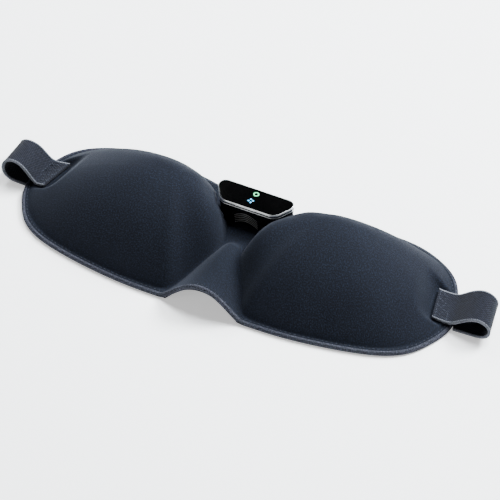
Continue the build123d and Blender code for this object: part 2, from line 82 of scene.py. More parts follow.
# ---- plan of the mask, right half, millimetres ---------------------------------------------
RIM = [
    (0, 34.5), (15, 35.7), (30, 38.8), (45, 41.6), (58, 43.1), (72, 43), (82.6, 41),
    (92, 37.2), (99.2, 32.8), (105.2, 26.6), (109.8, 18), (113.6, 8.7), (115, -0.8),
    (113.5, -8.5), (110.2, -16), (105, -24), (95, -31.4), (80, -36.5), (60, -40.4),
    (40, -42.6), (22, -43),
]
CUP = [
    (28, -39.4), (45, -39.2), (60, -37.3), (78, -33.8), (92, -28.9), (102, -21.8),
    (109, -11.8), (111.4, -1), (110.4, 8.4), (106.8, 18), (102, 26.8), (95.2, 33.4),
    (84.6, 38.3), (69, 41), (54, 41.3), (41.6, 39.4), (31.3, 35), (23, 27.8), (15.6, 18.6),
    (10.4, 8.6), (6.6, 0), (5.9, -10), (10.6, -20), (16.3, -31), (21, -38),
]
CROWN = (40.0, 10.5)
DOME_HEIGHT = 29.4
FLANGE = 2.45
NOSE_Y = -43.0
BROW_Y = 34.5
VAULT_BACK = -9.0
EYE_CENTRE = (54.0, 3.0)
EYE_HALF = (27.0, 17.0)
EYE_DEPTH = 13.6
EYE_EDGE = (2.6, 1.1)         # powers of the hollow's wall and of its floor
GROOVE = (0.7, 1.18, 0.03)    # depth, place and width of the groove round the hollow
DOME_POWERS = (1.8, 1.7, 3.1, 2.1)     # fall of a cup towards temple, brow, nose and cheek
DOME_ROUND = 0.55             # share of a cup's reach over which its crown is a plain dome
BRIDGE_RISE, BRIDGE_HALF = 8.2, 20.0
BRIDGE_RAMPS = (36.0, 22.0)   # run up from the nose and down to the brow
BRIDGE_BACK = 37.0
VAULT_PLAN = ([-46, VAULT_BACK, 6], [23.8, 6.4, 0.9])      # place along Y, half width
VAULT_CROWN = ([NOSE_Y, VAULT_BACK], [14.2, 4.2])          # place along Y, height
TUNNEL_PLAN = ([-46, VAULT_BACK], [21.2, 3.0])
TUNNEL_CROWN = ([NOSE_Y, VAULT_BACK], [12.9, 10.0])


def node_box(name):
    """Lowest and highest corner of a CAD node, in millimetres."""
    low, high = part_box(name)
    return [v / MM for v in low], [v / MM for v in high]


# ---- curves and heights --------------------------------------------------------------------
def run_lengths(points):
    """Distance along a line of points, from its start."""
    return np.r_[0, np.cumsum(np.linalg.norm(np.diff(points, axis=0), axis=1))]


def unit_rows(vectors):
    """Vectors brought to length one."""
    return vectors / np.linalg.norm(vectors, axis=1)[:, None]


def smooth_line(points, count, closed=False):
    """Evenly spaced points on a cubic curve through a few points."""
    pts = np.array(points, float)
    if closed:
        pts = np.vstack([pts[-3:], pts, pts[:4]])
    steps = run_lengths(pts)
    n = len(pts)
    h = np.diff(steps)
    matrix = np.zeros((n, n))
    right = np.zeros((n, pts.shape[1]))
    matrix[0, 0] = matrix[-1, -1] = 1
    for i in range(1, n - 1):
        matrix[i, i - 1 : i + 2] = h[i - 1], 2 * (h[i - 1] + h[i]), h[i]
        slope = (pts[i + 1] - pts[i]) / h[i] - (pts[i] - pts[i - 1]) / h[i - 1]
        right[i] = 6 * slope
    bend = np.linalg.solve(matrix, right)
    first, last = (steps[3], steps[-4]) if closed else (0, steps[-1])

    def at(s):
        k = np.clip(np.searchsorted(steps, s, side="right") - 1, 0, n - 2)
        a = ((steps[k + 1] - s) / h[k])[:, None]
        b = 1 - a
        hk = h[k][:, None]
        curve = (a**3 - a) * bend[k] + (b**3 - b) * bend[k + 1]
        return a * pts[k] + b * pts[k + 1] + curve * hk**2 / 6

    fine = at(np.linspace(first, last, 12 * count))
    run = run_lengths(fine)
    even = np.linspace(0, run[-1], count, endpoint=not closed)
    return np.stack([np.interp(even, run, fine[:, k]) for k in range(pts.shape[1])], 1)


def ease(t):
    """Smooth step from 0 to 1."""
    t = np.clip(t, 0, 1)
    return t * t * (3 - 2 * t)


CUP_LINE = smooth_line(CUP, 720, closed=True)
CUP_ANGLE = np.arctan2(CUP_LINE[:, 1] - CROWN[1], CUP_LINE[:, 0] - CROWN[0])
CUP_REACH = np.hypot(CUP_LINE[:, 0] - CROWN[0], CUP_LINE[:, 1] - CROWN[1])
CUP_ORDER = np.argsort(CUP_ANGLE)
CUP_ANGLE, CUP_REACH = CUP_ANGLE[CUP_ORDER], CUP_REACH[CUP_ORDER]


def dome(x, y):
    """Height of the padded cup over the flange: steep beside the nose, gentle elsewhere."""
    dx, dy = np.abs(x) - CROWN[0], y - CROWN[1]
    angle = np.arctan2(dy, dx)
    reach = np.interp(angle, CUP_ANGLE, CUP_REACH, period=2 * math.pi)
    share = np.clip(np.hypot(dx, dy) / reach, 0, 1)
    ways = np.cos(angle), np.sin(angle), -np.cos(angle), -np.sin(angle)
    power = sum(fall * np.clip(way, 0, 1) ** 2 for fall, way in zip(DOME_POWERS, ways))
    power = 2 + (power - 2) * ease(share / DOME_ROUND)
    return DOME_HEIGHT * (1 - share**power)


def bridge_rise(x, y):
    """Raised centre that carries the module, fading under the cups."""
    along = ease((y - NOSE_Y) / BRIDGE_RAMPS[0]) * ease((BRIDGE_BACK - y) / BRIDGE_RAMPS[1])
    return BRIDGE_RISE * along * np.exp(-((x / BRIDGE_HALF) ** 4))


def vault(x, y):
    """Arch over the nose, widening towards the notch."""
    half = np.interp(y, *VAULT_PLAN)
    crown = np.interp(y, *VAULT_CROWN) * ease((-1 - y) / 8)
    return crown * np.clip(1 - (x / half) ** 2, 0, 1) ** 1.5


def beside(x, y, corners, soften=0.0):
    """Distance outside a convex anticlockwise outline; soften rounds its corners."""
    gaps = []
    for (x0, y0), (x1, y1) in zip(corners, corners[1:] + corners[:1]):
        length = math.hypot(x1 - x0, y1 - y0)
        gaps.append(((x - x0) * (y1 - y0) - (y - y0) * (x1 - x0)) / length)
    if not soften:
        return np.max(gaps, axis=0)
    return soften * (np.logaddexp.reduce(np.array(gaps) / soften, axis=0) - 0.5)


BEZEL_LOW, BEZEL_HIGH = node_box("module_bezel")
MODULE = {
    "front": BEZEL_LOW[1], "back": BEZEL_HIGH[1], "front_half": 14.8, "back_half": 23.4,
    "front_corner": 6.0, "back_corner": 4.0, "least_corner": 0.5, "lean": 1.55,
}
MODULE_TOP = BEZEL_HIGH[2]
MODULE_BODY_TOP = BEZEL_LOW[2]
MODULE_BASE = node_box("module_lower_shell")[0][2]
BAY = [                       # room left in the padding round the module
    (-MODULE["front_half"] - 0.2, MODULE["front"] - 0.4),
    (MODULE["front_half"] + 0.2, MODULE["front"] - 0.4),
    (MODULE["back_half"] + 0.5, MODULE["back"] + 0.6),
    (-MODULE["back_half"] - 0.5, MODULE["back"] + 0.6),
]
BAY_FLOOR, BAY_SLOPE, BAY_EDGE = MODULE_BASE - 0.6, 9.0, 0.9
TAIL_LOW, TAIL_HIGH = node_box("right_strap_tail")
TAIL_SKEW = 2.4               # the sewn end follows the rim's slant, each way from its middle
BED = [                       # dent that the sewn end presses into the padding
    (TAIL_LOW[0] - 0.5 + TAIL_SKEW, TAIL_LOW[1] - 0.6), (TAIL_HIGH[0] + 8, TAIL_LOW[1] - 0.6),
    (TAIL_HIGH[0] + 8, TAIL_HIGH[1] + 0.6), (TAIL_LOW[0] - 0.5 - TAIL_SKEW, TAIL_HIGH[1] + 0.6),
]
BED_FLOOR, BED_SLOPE, BED_EDGE, BED_CORNER = TAIL_LOW[2] - 0.25, 1.5, 1.8, 2.4
FAR = 40.0                    # beyond this a bay or a bed no longer matters


def soft_low(a, b, width):
    """Lower of two heights, rounded where they cross."""
    mix = np.clip(0.5 + (b - a) / (2 * width), 0, 1)
    return b + (a - b) * mix - width * mix * (1 - mix)


def outer_height(x, y):
    """Outer face of the mask above the face plane."""
    z = FLANGE + dome(x, y) + bridge_rise(x, y) + vault(x, y)
    bay_out = np.clip(beside(np.abs(x), y, BAY), 0, FAR)
    z = soft_low(z, BAY_FLOOR + BAY_SLOPE * bay_out, BAY_EDGE)
    bed_out = np.clip(beside(np.abs(x), y, BED, BED_CORNER), 0, FAR)
    dent = soft_low(z, BED_FLOOR + BED_SLOPE * bed_out, BED_EDGE)
    return np.where(z > BED_FLOOR, np.maximum(dent, BED_FLOOR), z)


def face_height(x, y):
    """Inner face of the mask: flat, with a hollow before the eye and a tunnel for the nose."""
    ex = (np.abs(x) - EYE_CENTRE[0]) / EYE_HALF[0]
    ey = (y - EYE_CENTRE[1]) / EYE_HALF[1]
    share = np.hypot(ex, ey)
    hollow = EYE_DEPTH * (1 - np.clip(share, 0, 1) ** EYE_EDGE[0]) ** EYE_EDGE[1]
    depth, place, width = GROOVE
    groove = depth * np.exp(-(((share - place) / width) ** 2))
    half = np.interp(y, *TUNNEL_PLAN)
    crown = np.interp(y, *TUNNEL_CROWN) * ease((VAULT_BACK + 1 - y) / 5)
    tunnel = crown * np.clip(1 - (x / half) ** 2, 0, 1)
    return np.maximum(np.maximum(hollow, groove), tunnel)


def cloth_lengths(height):
    """Lookup of how far cloth runs over the surface, for a weave that doesn't stretch."""
    step = 0.5
    xs, ys = np.arange(0, 120, step), np.arange(-48, 50, step)
    grid_x, grid_y = np.meshgrid(xs, ys)
    z = height(grid_x, grid_y)
    across = np.cumsum(np.hypot(step, np.gradient(z, axis=1)), axis=1)
    along = np.cumsum(np.hypot(step, np.gradient(z, axis=0)), axis=0)
    along -= along[np.searchsorted(ys, 0)]

    def look(x, y):
        fx = np.clip((np.abs(x) - xs[0]) / step, 0, len(xs) - 1.001)
        fy = np.clip((y - ys[0]) / step, 0, len(ys) - 1.001)
        ix, iy = fx.astype(int), fy.astype(int)
        tx, ty = fx - ix, fy - iy
        corner = lambda t, a, b: t[iy + b, ix + a]
        mix = lambda t: (
            corner(t, 0, 0) * (1 - tx) * (1 - ty) + corner(t, 1, 0) * tx * (1 - ty)
            + corner(t, 0, 1) * (1 - tx) * ty + corner(t, 1, 1) * tx * ty
        )
        return np.stack([mix(across), mix(along)], 1)

    return look


# ---- mesh helpers --------------------------------------------------------------------------
def link(name, data):
    """New object for a mesh, light or camera, in the scene."""
    obj = bpy.data.objects.new(name, data)
    bpy.context.scene.collection.objects.link(obj)
    return obj


def mesh_object(name, verts, faces, uv=None, smooth=True):
    """Object from millimetre vertices, faces and an optional UV per vertex."""
    mesh = bpy.data.meshes.new(name)
    mesh.from_pydata([tuple(v) for v in np.asarray(verts) * MM], [], faces)
    if uv is not None:
        layer = mesh.uv_layers.new(name="weave")
        loops = np.zeros(len(mesh.loops), int)
        mesh.loops.foreach_get("vertex_index", loops)
        layer.data.foreach_set("uv", (np.asarray(uv)[loops] * MM).ravel())
    mesh.validate()
    for polygon in mesh.polygons:
        polygon.use_smooth = smooth
    mesh.update()
    return link(name, mesh)


def face_out(obj):
    """Turn every face of a closed mesh outwards."""
    tool = bmesh.new()
    tool.from_mesh(obj.data)
    bmesh.ops.recalc_face_normals(tool, faces=tool.faces)
    if tool.calc_volume(signed=True) < 0:
        bmesh.ops.reverse_faces(tool, faces=tool.faces)
    tool.to_mesh(obj.data)
    tool.free()
    return obj


def sharpen(obj, degrees=35):
    """Keep corners over an angle crisp."""
    obj.data.set_sharp_from_angle(angle=math.radians(degrees))
    return obj


def tube_faces(rows, columns, closed_rows=False):
    """Quads between rings of equal length, with capped ends unless the rows close."""
    faces = []
    for r in range(rows if closed_rows else rows - 1):
        for c in range(columns):
            a, b = r * columns + c, r * columns + (c + 1) % columns
            s = (r + 1) % rows * columns
            faces.append((a, b, s + (c + 1) % columns, s + c))
    if not closed_rows:
        faces.append(tuple(reversed(range(columns))))
        faces.append(tuple((rows - 1) * columns + c for c in range(columns)))
    return faces


SHEET_INSET = 0.9             # how far the padding and the face cloth stay inside the edge


def half_outline(inset, count):
    """Outline of the right half, from the brow centre round to the nose centre."""
    rim = smooth_line(RIM, count)
    run = unit_rows(np.gradient(rim, axis=0))
    rim = rim + inset * np.stack([run[:, 1], -run[:, 0]], 1)
    rim[0] = 0, BROW_Y - inset
    across = np.linspace(rim[-1][0], 0, count // 8)[1:]
    notch = np.stack([across, np.full(len(across), NOSE_Y + inset)], 1)
    side = np.linspace(NOSE_Y + inset, BROW_Y - inset, count // 4)[1:-1]
    middle = np.stack([np.zeros(len(side)), side], 1)
    return np.vstack([rim, notch, middle])


def half_sheet(name, side, top, bottom, centre, weave, rings=84, count=360):
    """Closed half of the mask between two heights; its cloth lies on the height called weave."""
    outline = half_outline(SHEET_INSET, count)
    n = len(outline)
    shares = 1 - (1 - np.linspace(0, 1, rings + 1)[1:]) ** 1.25
    plan = [np.array([centre])]
    for share in shares:
        plan.append(np.array(centre) + (outline - centre) * share)
    plan = np.vstack(plan)
    x, y = plan[:, 0], plan[:, 1]
    upper = np.stack([side * x, y, top(x, y)], 1)
    lower = np.stack([side * x, y, bottom(x, y)], 1)
    lower[:, 2] = np.minimum(lower[:, 2], upper[:, 2] - 0.25)
    total = len(plan)
    faces = []
    for k in range(n):
        m = (k + 1) % n
        faces += [(0, 1 + k, 1 + m), (total, total + 1 + m, total + 1 + k)]
    for r in range(rings - 1):
        a, b = 1 + r * n, 1 + (r + 1) * n
        for k in range(n):
            m = (k + 1) % n
            faces.append((a + k, b + k, b + m, a + m))
            faces.append((total + a + k, total + a + m, total + b + m, total + b + k))
    last = 1 + (rings - 1) * n
    for k in range(n):
        m = (k + 1) % n
        faces.append((last + k, total + last + k, total + last + m, last + m))
    uv = cloth_lengths(weave)(x, y)
    uv[:, 0] *= side
    return face_out(mesh_object(name, np.vstack([upper, lower]), faces, np.vstack([uv, uv])))


def swept(name, path, out, section):
    """Band of a closed section along a path; out gives each point's sideways direction."""
    run = unit_rows(np.gradient(path, axis=0))
    out = unit_rows(out - run * np.sum(out * run, axis=1)[:, None])
    up = np.cross(run, out)
    up *= np.sign(np.where(np.abs(up[:, 2:3]) > 1e-6, up[:, 2:3], 1))
    verts, uvs = [], []
    around = run_lengths(section)
    for p, o, u, s in zip(path, out, up, run_lengths(path)):
        for (a, b), t in zip(section, around):
            verts.append(p + a * o + b * u)
            uvs.append((s, t))
    return face_out(mesh_object(name, verts, tube_faces(len(path), len(section)), uvs))


def rounded_section(width, height, power=3.0, count=20):
    """Soft-cornered section, width across and height up."""
    angles = np.linspace(0, 2 * math.pi, count, endpoint=False)
    c, s = np.cos(angles), np.sin(angles)
    return np.stack([
        width / 2 * np.sign(c) * np.abs(c) ** (2 / power),
        height / 2 * np.sign(s) * np.abs(s) ** (2 / power),
    ], 1)


def turned(profile, centre, columns, closed=False):
    """Vertices and faces of (radius, height) steps turned about an upright axis."""
    x, y, z = centre
    verts = [
        (x + r * math.cos(a), y + r * math.sin(a), z + h)
        for r, h in profile for a in np.linspace(0, 2 * math.pi, columns, endpoint=False)
    ]
    return verts, tube_faces(len(profile), columns, closed_rows=closed)


def joined(shapes):
    """Vertices and faces of several shapes as one."""
    verts, faces = [], []
    for more, around in shapes:
        first = len(verts)
        verts += more
        faces += [tuple(first + i for i in face) for face in around]
    return verts, faces


def rounded_corners(corners, radii, segments):
    """Anticlockwise outline with an arc at each corner."""
    points = []
    corners = np.array(corners, float)
    for k, (here, radius) in enumerate(zip(corners, radii)):
        before = corners[k - 1] - here
        after = corners[(k + 1) % len(corners)] - here
        before /= np.linalg.norm(before)
        after /= np.linalg.norm(after)
        half_turn = math.acos(np.dot(before, after)) / 2
        middle = before + after
        middle /= np.linalg.norm(middle)
        centre = here + middle * radius / math.sin(half_turn)
        tangent = radius / math.tan(half_turn)
        start, end = here + before * tangent - centre, here + after * tangent - centre
        a0, a1 = math.atan2(start[1], start[0]), math.atan2(end[1], end[0])
        turn = (a1 - a0) % (2 * math.pi)
        for a in np.linspace(a0, a0 + turn, segments):
            points.append(centre + radius * np.array([math.cos(a), math.sin(a)]))
    return np.array(points)


def module_ring(inset):
    """Rounded trapezoid of the control module, anticlockwise."""
    front, back = MODULE["front"] + inset, MODULE["back"] - inset
    slope = (MODULE["back_half"] - MODULE["front_half"]) / (MODULE["back"] - MODULE["front"])
    shrink = inset * math.hypot(1, slope)
    half_at = lambda y: MODULE["front_half"] + slope * (y - MODULE["front"]) - shrink
    corners = [
        (-half_at(front), front), (half_at(front), front), (half_at(back), back),
        (-half_at(back), back),
    ]
    radii = [
        max(MODULE[end] - inset, MODULE["least_corner"])
        for end in ("front_corner", "front_corner", "back_corner", "back_corner")
    ]
    return rounded_corners(corners, radii, 9)


def module_body(name, steps, ring=False):
    """Piece of the module from (inset, height) steps; a ring closes on itself."""
    verts = [(x, y, z) for inset, z in steps for x, y in module_ring(inset)]
    faces = tube_faces(len(steps), len(module_ring(0)), closed_rows=ring)
    return sharpen(face_out(mesh_object(name, verts, faces)), 40)


def lean_at(z):
    """How far the module's wall stands inside its top outline at a height."""
    return MODULE["lean"] * (MODULE_BODY_TOP - z) / (MODULE_BODY_TOP - MODULE_BASE)


def wall(z, inset=0.0, rise=0.0):
    """Step of a module piece: inset from the wall at a height, and a rise over that height."""
    return lean_at(z) + inset, z + rise


# ---- materials -----------------------------------------------------------------------------
class Finish:
    """Small builder for a node material."""

    def __init__(self, name, **sockets):
        self.material = bpy.data.materials.new(name)
        self.material.use_nodes = True
        self.tree = self.material.node_tree
        self.shader = self.tree.nodes["Principled BSDF"]
        for key, value in sockets.items():
            self.shader.inputs[key.replace("_", " ")].default_value = value

    def node(self, kind, inputs=None, **settings):
        made = self.tree.nodes.new(kind)
        for key, value in settings.items():
            setattr(made, key, value)
        for key, value in (inputs or {}).items():
            if isinstance(value, bpy.types.NodeSocket):
                self.tree.links.new(value, made.inputs[key])
            else:
                made.inputs[key].default_value = value
        return made

    def place(self, layer=None):
        """Object coordinates, or the piece's own weave map."""
        if layer:
            return self.node("ShaderNodeUVMap", uv_map=layer).outputs["UV"]
        return self.node("ShaderNodeTexCoord").outputs["Object"]

    def noise(self, place, scale, detail=3.0):
        return self.node(
            "ShaderNodeTexNoise",
            {"Vector": place, "Scale": scale, "Detail": detail, "Roughness": 0.6},
        ).outputs["Fac"]

    def maths(self, operation, a, b=0.0):
        return self.node("ShaderNodeMath", {0: a, 1: b}, operation=operation).outputs[0]

    def wave(self, value, turn):
        return self.maths("SINE", self.maths("MULTIPLY", value, turn))

    def ramp(self, factor, stops):
        made = self.node("ShaderNodeValToRGB", {"Fac": factor})
        made.color_ramp.elements[0].position, made.color_ramp.elements[0].color = stops[0]
        made.color_ramp.elements[1].position, made.color_ramp.elements[1].color = stops[-1]
        for position, color in stops[1:-1]:
            made.color_ramp.elements.new(position).color = color
        return made.outputs["Color"]

    def mix(self, factor, a, b, mode="MIX"):
        return self.node(
            "ShaderNodeMix", {0: factor, 6: a, 7: b}, data_type="RGBA", blend_type=mode
        ).outputs[2]

    def join(self, output, socket):
        self.tree.links.new(output, self.shader.inputs[socket])

    def bump(self, height, strength, distance):
        made = self.node(
            "ShaderNodeBump", {"Height": height, "Strength": strength, "Distance": distance}
        )
        self.join(made.outputs["Normal"], "Normal")


def rgb(color, factor=1.0):
    return tuple(c * factor for c in color[:3]) + (1.0,)


def grey(value):
    return rgb((min(value, 1.0),) * 3)


def knit(name, color, pitch, layer="weave", contrast=0.35, fuzz=0.045, depth=0.25):
    """Fine jersey: columns of small loops, speckled yarn and a soft halo."""
    finish = Finish(
        name, Roughness=0.92, Sheen_Weight=fuzz, Sheen_Roughness=0.45,
        Sheen_Tint=(0.62, 0.7, 0.9, 1), Specular_IOR_Level=0.12,
    )
    place = finish.place(layer)
    parts = finish.node("ShaderNodeSeparateXYZ", {"Vector": place}).outputs
    turn = 2 * math.pi / pitch
    columns = finish.maths("ABSOLUTE", finish.wave(parts["X"], turn / 2))
    lean = finish.maths("MULTIPLY", columns, 1.6)
    rows_at = finish.maths("ADD", finish.maths("MULTIPLY", parts["Y"], turn), lean)
    rows = finish.maths("ABSOLUTE", finish.maths("SINE", rows_at))
    loops = finish.maths("MULTIPLY", finish.maths("POWER", columns, 0.6), rows)
    speck = finish.noise(place, 0.9 / pitch, 2.0)
    cloud = finish.noise(place, 45.0, 2.0)
    mixed = finish.maths(
        "ADD", finish.maths("MULTIPLY", loops, 0.55), finish.maths("MULTIPLY", speck, 0.45)
    )
    shade = finish.ramp(mixed, [
        (0.12, rgb(color, 1 - contrast)), (0.45, rgb(color)), (0.8, rgb(color, 1 + 1.6 * contrast)),
    ])
    wide = finish.ramp(cloud, [(0.3, (0.85, 0.85, 0.88, 1)), (0.7, (1.1, 1.1, 1.08, 1))])
    fleck = finish.ramp(finish.noise(place, 1.2 / pitch, 1.0), [
        (0.34, grey(0.5)), (0.52, grey(1)), (0.68, (2.1, 2.1, 2.2, 1)),
    ])
    cloth = finish.mix(1.0, shade, wide, "MULTIPLY")
    finish.join(finish.mix(1.0, cloth, fleck, "MULTIPLY"), "Base Color")
    finish.bump(mixed, depth, 0.0003)
    return finish.material


def webbing_cloth(name, color, pitch=0.0016):
    """Ribbed elastic webbing: ridges across its length and coarse yarn."""
    finish = Finish(
        name, Roughness=0.9, Sheen_Weight=0.03, Sheen_Roughness=0.5, Specular_IOR_Level=0.12
    )
    place = finish.place("weave")
    parts = finish.node("ShaderNodeSeparateXYZ", {"Vector": place}).outputs
    turn = 2 * math.pi / pitch
    ribs, yarns = finish.wave(parts["X"], turn), finish.wave(parts["Y"], turn * 1.3)
    cross = finish.maths("MULTIPLY", ribs, yarns)
    grain = finish.noise(place, 1.1 / pitch, 3.0)
    height = finish.maths("ADD", finish.maths("MULTIPLY", cross, 0.4), grain)
    shade = finish.ramp(height, [
        (0.1, rgb(color, 0.35)), (0.5, rgb(color)), (0.95, rgb(color, 2.6)),
    ])
    finish.join(shade, "Base Color")
    finish.bump(height, 0.6, 0.0004)
    return finish.material


def plastic(name, color, roughness, gloss=0.5):
    """Moulded plastic with a faint surface wave and fine handling marks."""
    finish = Finish(name, Roughness=roughness, Specular_IOR_Level=gloss)
    place = finish.place()
    marks = finish.noise(place, 1250.0, 4.0)
    wide = finish.noise(place, 60.0, 2.0)
    finish.join(finish.mix(marks, rgb(color, 0.85), rgb(color, 1.15)), "Base Color")
    spread = finish.ramp(wide, [(0.35, grey(roughness * 0.8)), (0.7, grey(roughness * 1.35))])
    finish.join(spread, "Roughness")
    finish.bump(marks, 0.05, 0.00005)
    return finish.material


def metal(name, color, roughness, streak=(1, 1, 12)):
    """Metal with fine drawn streaks."""
    finish = Finish(name, Metallic=1.0, Roughness=roughness)
    place = finish.place()
    drawn = finish.node("ShaderNodeMapping", {"Vector": place, "Scale": streak}).outputs["Vector"]
    lines = finish.noise(drawn, 900.0, 3.0)
    finish.join(finish.mix(lines, rgb(color, 0.82), rgb(color, 1.1)), "Base Color")
    tone = finish.ramp(lines, [(0.3, grey(roughness * 0.75)), (0.75, grey(roughness * 1.4))])
    finish.join(tone, "Roughness")
    return finish.material


def light_guide(name, color, strength):
    """Lit translucent plastic, slightly uneven."""
    finish = Finish(name, Roughness=0.3, Emission_Strength=strength)
    glow = finish.noise(finish.place(), 700.0, 2.0)
    finish.join(finish.mix(glow, rgb(color, 0.6), rgb(color)), "Base Color")
    finish.join(finish.mix(glow, rgb(color, 0.8), rgb(color)), "Emission Color")
    return finish.material


def foam_cell(name, color):
    """Open-cell foam."""
    finish = Finish(name, Roughness=0.95)
    place = finish.place()
    cells = finish.node(
        "ShaderNodeTexVoronoi", {"Vector": place, "Scale": 900.0}
    ).outputs["Distance"]
    finish.join(finish.mix(cells, rgb(color, 0.5), rgb(color, 1.3)), "Base Color")
    finish.bump(cells, 0.4, 0.0003)
    return finish.material


def board_finish(name, color):
    """Solder mask with faint copper tracks."""
    finish = Finish(name, Roughness=0.4)
    place = finish.place()
    tracks = finish.node(
        "ShaderNodeTexBrick", {"Vector": place, "Scale": 260.0, "Mortar Size": 0.03},
    ).outputs["Fac"]
    finish.join(finish.mix(tracks, rgb(color), rgb(color, 1.9)), "Base Color")
    finish.bump(tracks, 0.2, 0.0001)
    return finish.material


MATERIALS = {}


def finish_of(key):
    """Material by its name, built once from the panel's colours."""
    if key not in MATERIALS:
        look = bpy.context.scene.mask_finishes
        makers = {
            "cover_knit": lambda name: knit(name, look.knit_color, 0.00085),
            "liner_knit": lambda name: knit(name, look.liner_color, 0.0011, fuzz=0.1),
            "binding_knit": lambda name: knit(name, look.binding_color, 0.0009),
            "thread": lambda name: knit(name, look.thread_color, 0.0005, None, depth=0.1),
            "webbing": lambda name: webbing_cloth(name, look.webbing_color),
            # much lighter webbing cloth for the band's edge faces: a painted highlight along the
            # webbing's edges
            "painted_edge_highlight": lambda name: webbing_cloth(name, look.painted_edge_highlight_color, 0.0011),
            "gloss_black": lambda name: plastic(name, look.shell_color, 0.16, 0.3),
            "panel_black": lambda name: plastic(name, rgb(look.shell_color, 0.15), 0.1, 0.03),
            "matt_black": lambda name: plastic(name, (0.012, 0.012, 0.013), 0.55, 0.15),
            "rib_grey": lambda name: plastic(name, (0.17, 0.175, 0.17), 0.35),
            "bright_trim": lambda name: metal(name, look.trim_color, 0.3),
            "seam_trim": lambda name: metal(name, (0.6, 0.61, 0.63), 0.35),
            "ring_glow": lambda name: light_guide(name, look.ring_color, look.glow),
            "dot_glow": lambda name: light_guide(name, look.dot_color, look.glow),
            "motor_steel": lambda name: metal(name, (0.62, 0.62, 0.64), 0.3),
            "cast_weight": lambda name: metal(name, (0.3, 0.29, 0.28), 0.55),
            "foam": lambda name: foam_cell(name, (0.1, 0.1, 0.11)),
            "heater_film": lambda name: plastic(name, (0.5, 0.24, 0.07), 0.3),
            "board": lambda name: board_finish(name, (0.02, 0.12, 0.05)),
            "cell_foil": lambda name: metal(name, (0.6, 0.62, 0.64), 0.4, (1, 1, 1)),
            "magnet_plate": lambda name: metal(name, (0.72, 0.72, 0.74), 0.15),
            "contact_gold": lambda name: metal(name, (0.9, 0.68, 0.3), 0.22),
        }
        MATERIALS[key] = makers[key](key)
    return MATERIALS[key]


def dress(obj, key):
    """Give a piece one material."""
    obj.data.materials.clear()
    obj.data.materials.append(finish_of(key))
    return obj


# ---- geometry node trees -------------------------------------------------------------------
TREE_NODES = {
    "start": "NodeGroupInput", "end": "NodeGroupOutput", "curve": "GeometryNodeMeshToCurve",
    "resample": "GeometryNodeResampleCurve", "tangent": "GeometryNodeInputTangent",
    "carry": "GeometryNodeCaptureAttribute", "align_x": "FunctionNodeAlignRotationToVector",
    "align_z": "FunctionNodeAlignRotationToVector", "points": "GeometryNodeCurveToPoints",
    "shape": "GeometryNodeObjectInfo", "place": "GeometryNodeInstanceOnPoints",
    "real": "GeometryNodeRealizeInstances",
}
TREE_LINKS = [                # node and output, node and input
    ("start", "Path", "curve", "Mesh"), ("curve", "Curve", "resample", "Curve"),
    ("start", "Spacing", "resample", "Length"), ("resample", "Curve", "carry", "Geometry"),
    ("tangent", "Tangent", "carry", "Tangent"), ("carry", "Geometry", "points", "Curve"),
    ("carry", "Tangent", "align_x", "Vector"), ("align_x", "Rotation", "align_z", "Rotation"),
    ("points", "Points", "place", "Points"), ("start", "Shape", "shape", "Object"),
    ("shape", "Geometry", "place", "Instance"), ("align_z", "Rotation", "place", "Rotation"),
    ("place", "Instances", "real", "Geometry"), ("real", "Geometry", "end", "Laid"),
]


def along_path_tree(name):
    """Tree that lays one small shape along a path at a spacing, its top facing up."""
    tree = bpy.data.node_groups.new(name, "GeometryNodeTree")
    face = tree.interface
    face.new_socket("Path", in_out="INPUT", socket_type="NodeSocketGeometry")
    face.new_socket("Shape", in_out="INPUT", socket_type="NodeSocketObject")
    spacing = face.new_socket("Spacing", in_out="INPUT", socket_type="NodeSocketFloat")
    spacing.default_value = 2.2 * MM
    face.new_socket("Laid", in_out="OUTPUT", socket_type="NodeSocketGeometry")
    nodes = {label: tree.nodes.new(kind) for label, kind in TREE_NODES.items()}
    nodes["resample"].mode = "LENGTH"
    nodes["points"].mode = "EVALUATED"
    nodes["carry"].capture_items.new("VECTOR", "Tangent")
    nodes["align_x"].axis, nodes["align_z"].axis, nodes["align_z"].pivot_axis = "X", "Z", "X"
    nodes["align_z"].inputs["Vector"].default_value = (0, 0, 1)
    for source, output, target, socket in TREE_LINKS:
        tree.links.new(nodes[source].outputs[output], nodes[target].inputs[socket])
    return tree


def capsule(length, width, height, sides=8, rings=5):
    """Small rounded stitch, along X, in millimetres."""
    verts, faces = [], []
    for r in range(rings):
        a = math.pi * (r + 0.5) / rings
        x, grow = -length / 2 * math.cos(a), math.sin(a) ** 0.6
        for s in range(sides):
            t = 2 * math.pi * s / sides
            verts.append((x, width / 2 * grow * math.cos(t), height / 2 * grow * math.sin(t)))
    return mesh_object("stitch_shape", verts, tube_faces(rings, sides))


def laid_along(name, paths, spacing, shape, key):
    """Plain mesh of a shape laid along open paths."""
    verts, edges = [], []
    for path in paths:
        first = len(verts)
        verts += list(path)
        edges += [(first + i, first + i + 1) for i in range(len(path) - 1)]
    mesh = bpy.data.meshes.new(name + "_path")
    mesh.from_pydata([tuple(v) for v in np.asarray(verts) * MM], edges, [])
    path_object = link(name + "_path", mesh)
    tree = along_path_tree(name + "_tree")
    modifier = path_object.modifiers.new("laid", "NODES")
    modifier.node_group = tree
    names = {item.name: item.identifier for item in tree.interface.items_tree}
    modifier[names["Shape"]] = shape
    modifier[names["Spacing"]] = spacing * MM
    graph = bpy.context.evaluated_depsgraph_get()
    made = bpy.data.meshes.new_from_object(path_object.evaluated_get(graph))
    made.name = name
    bpy.data.objects.remove(path_object)
    for polygon in made.polygons:
        polygon.use_smooth = True
    return dress(link(name, made), key)


# ---- property groups -----------------------------------------------------------------------
def color_prop(name, description, default):
    return bpy.props.FloatVectorProperty(
        name=name, description=description, subtype="COLOR", size=3, min=0, max=1, default=default
    )


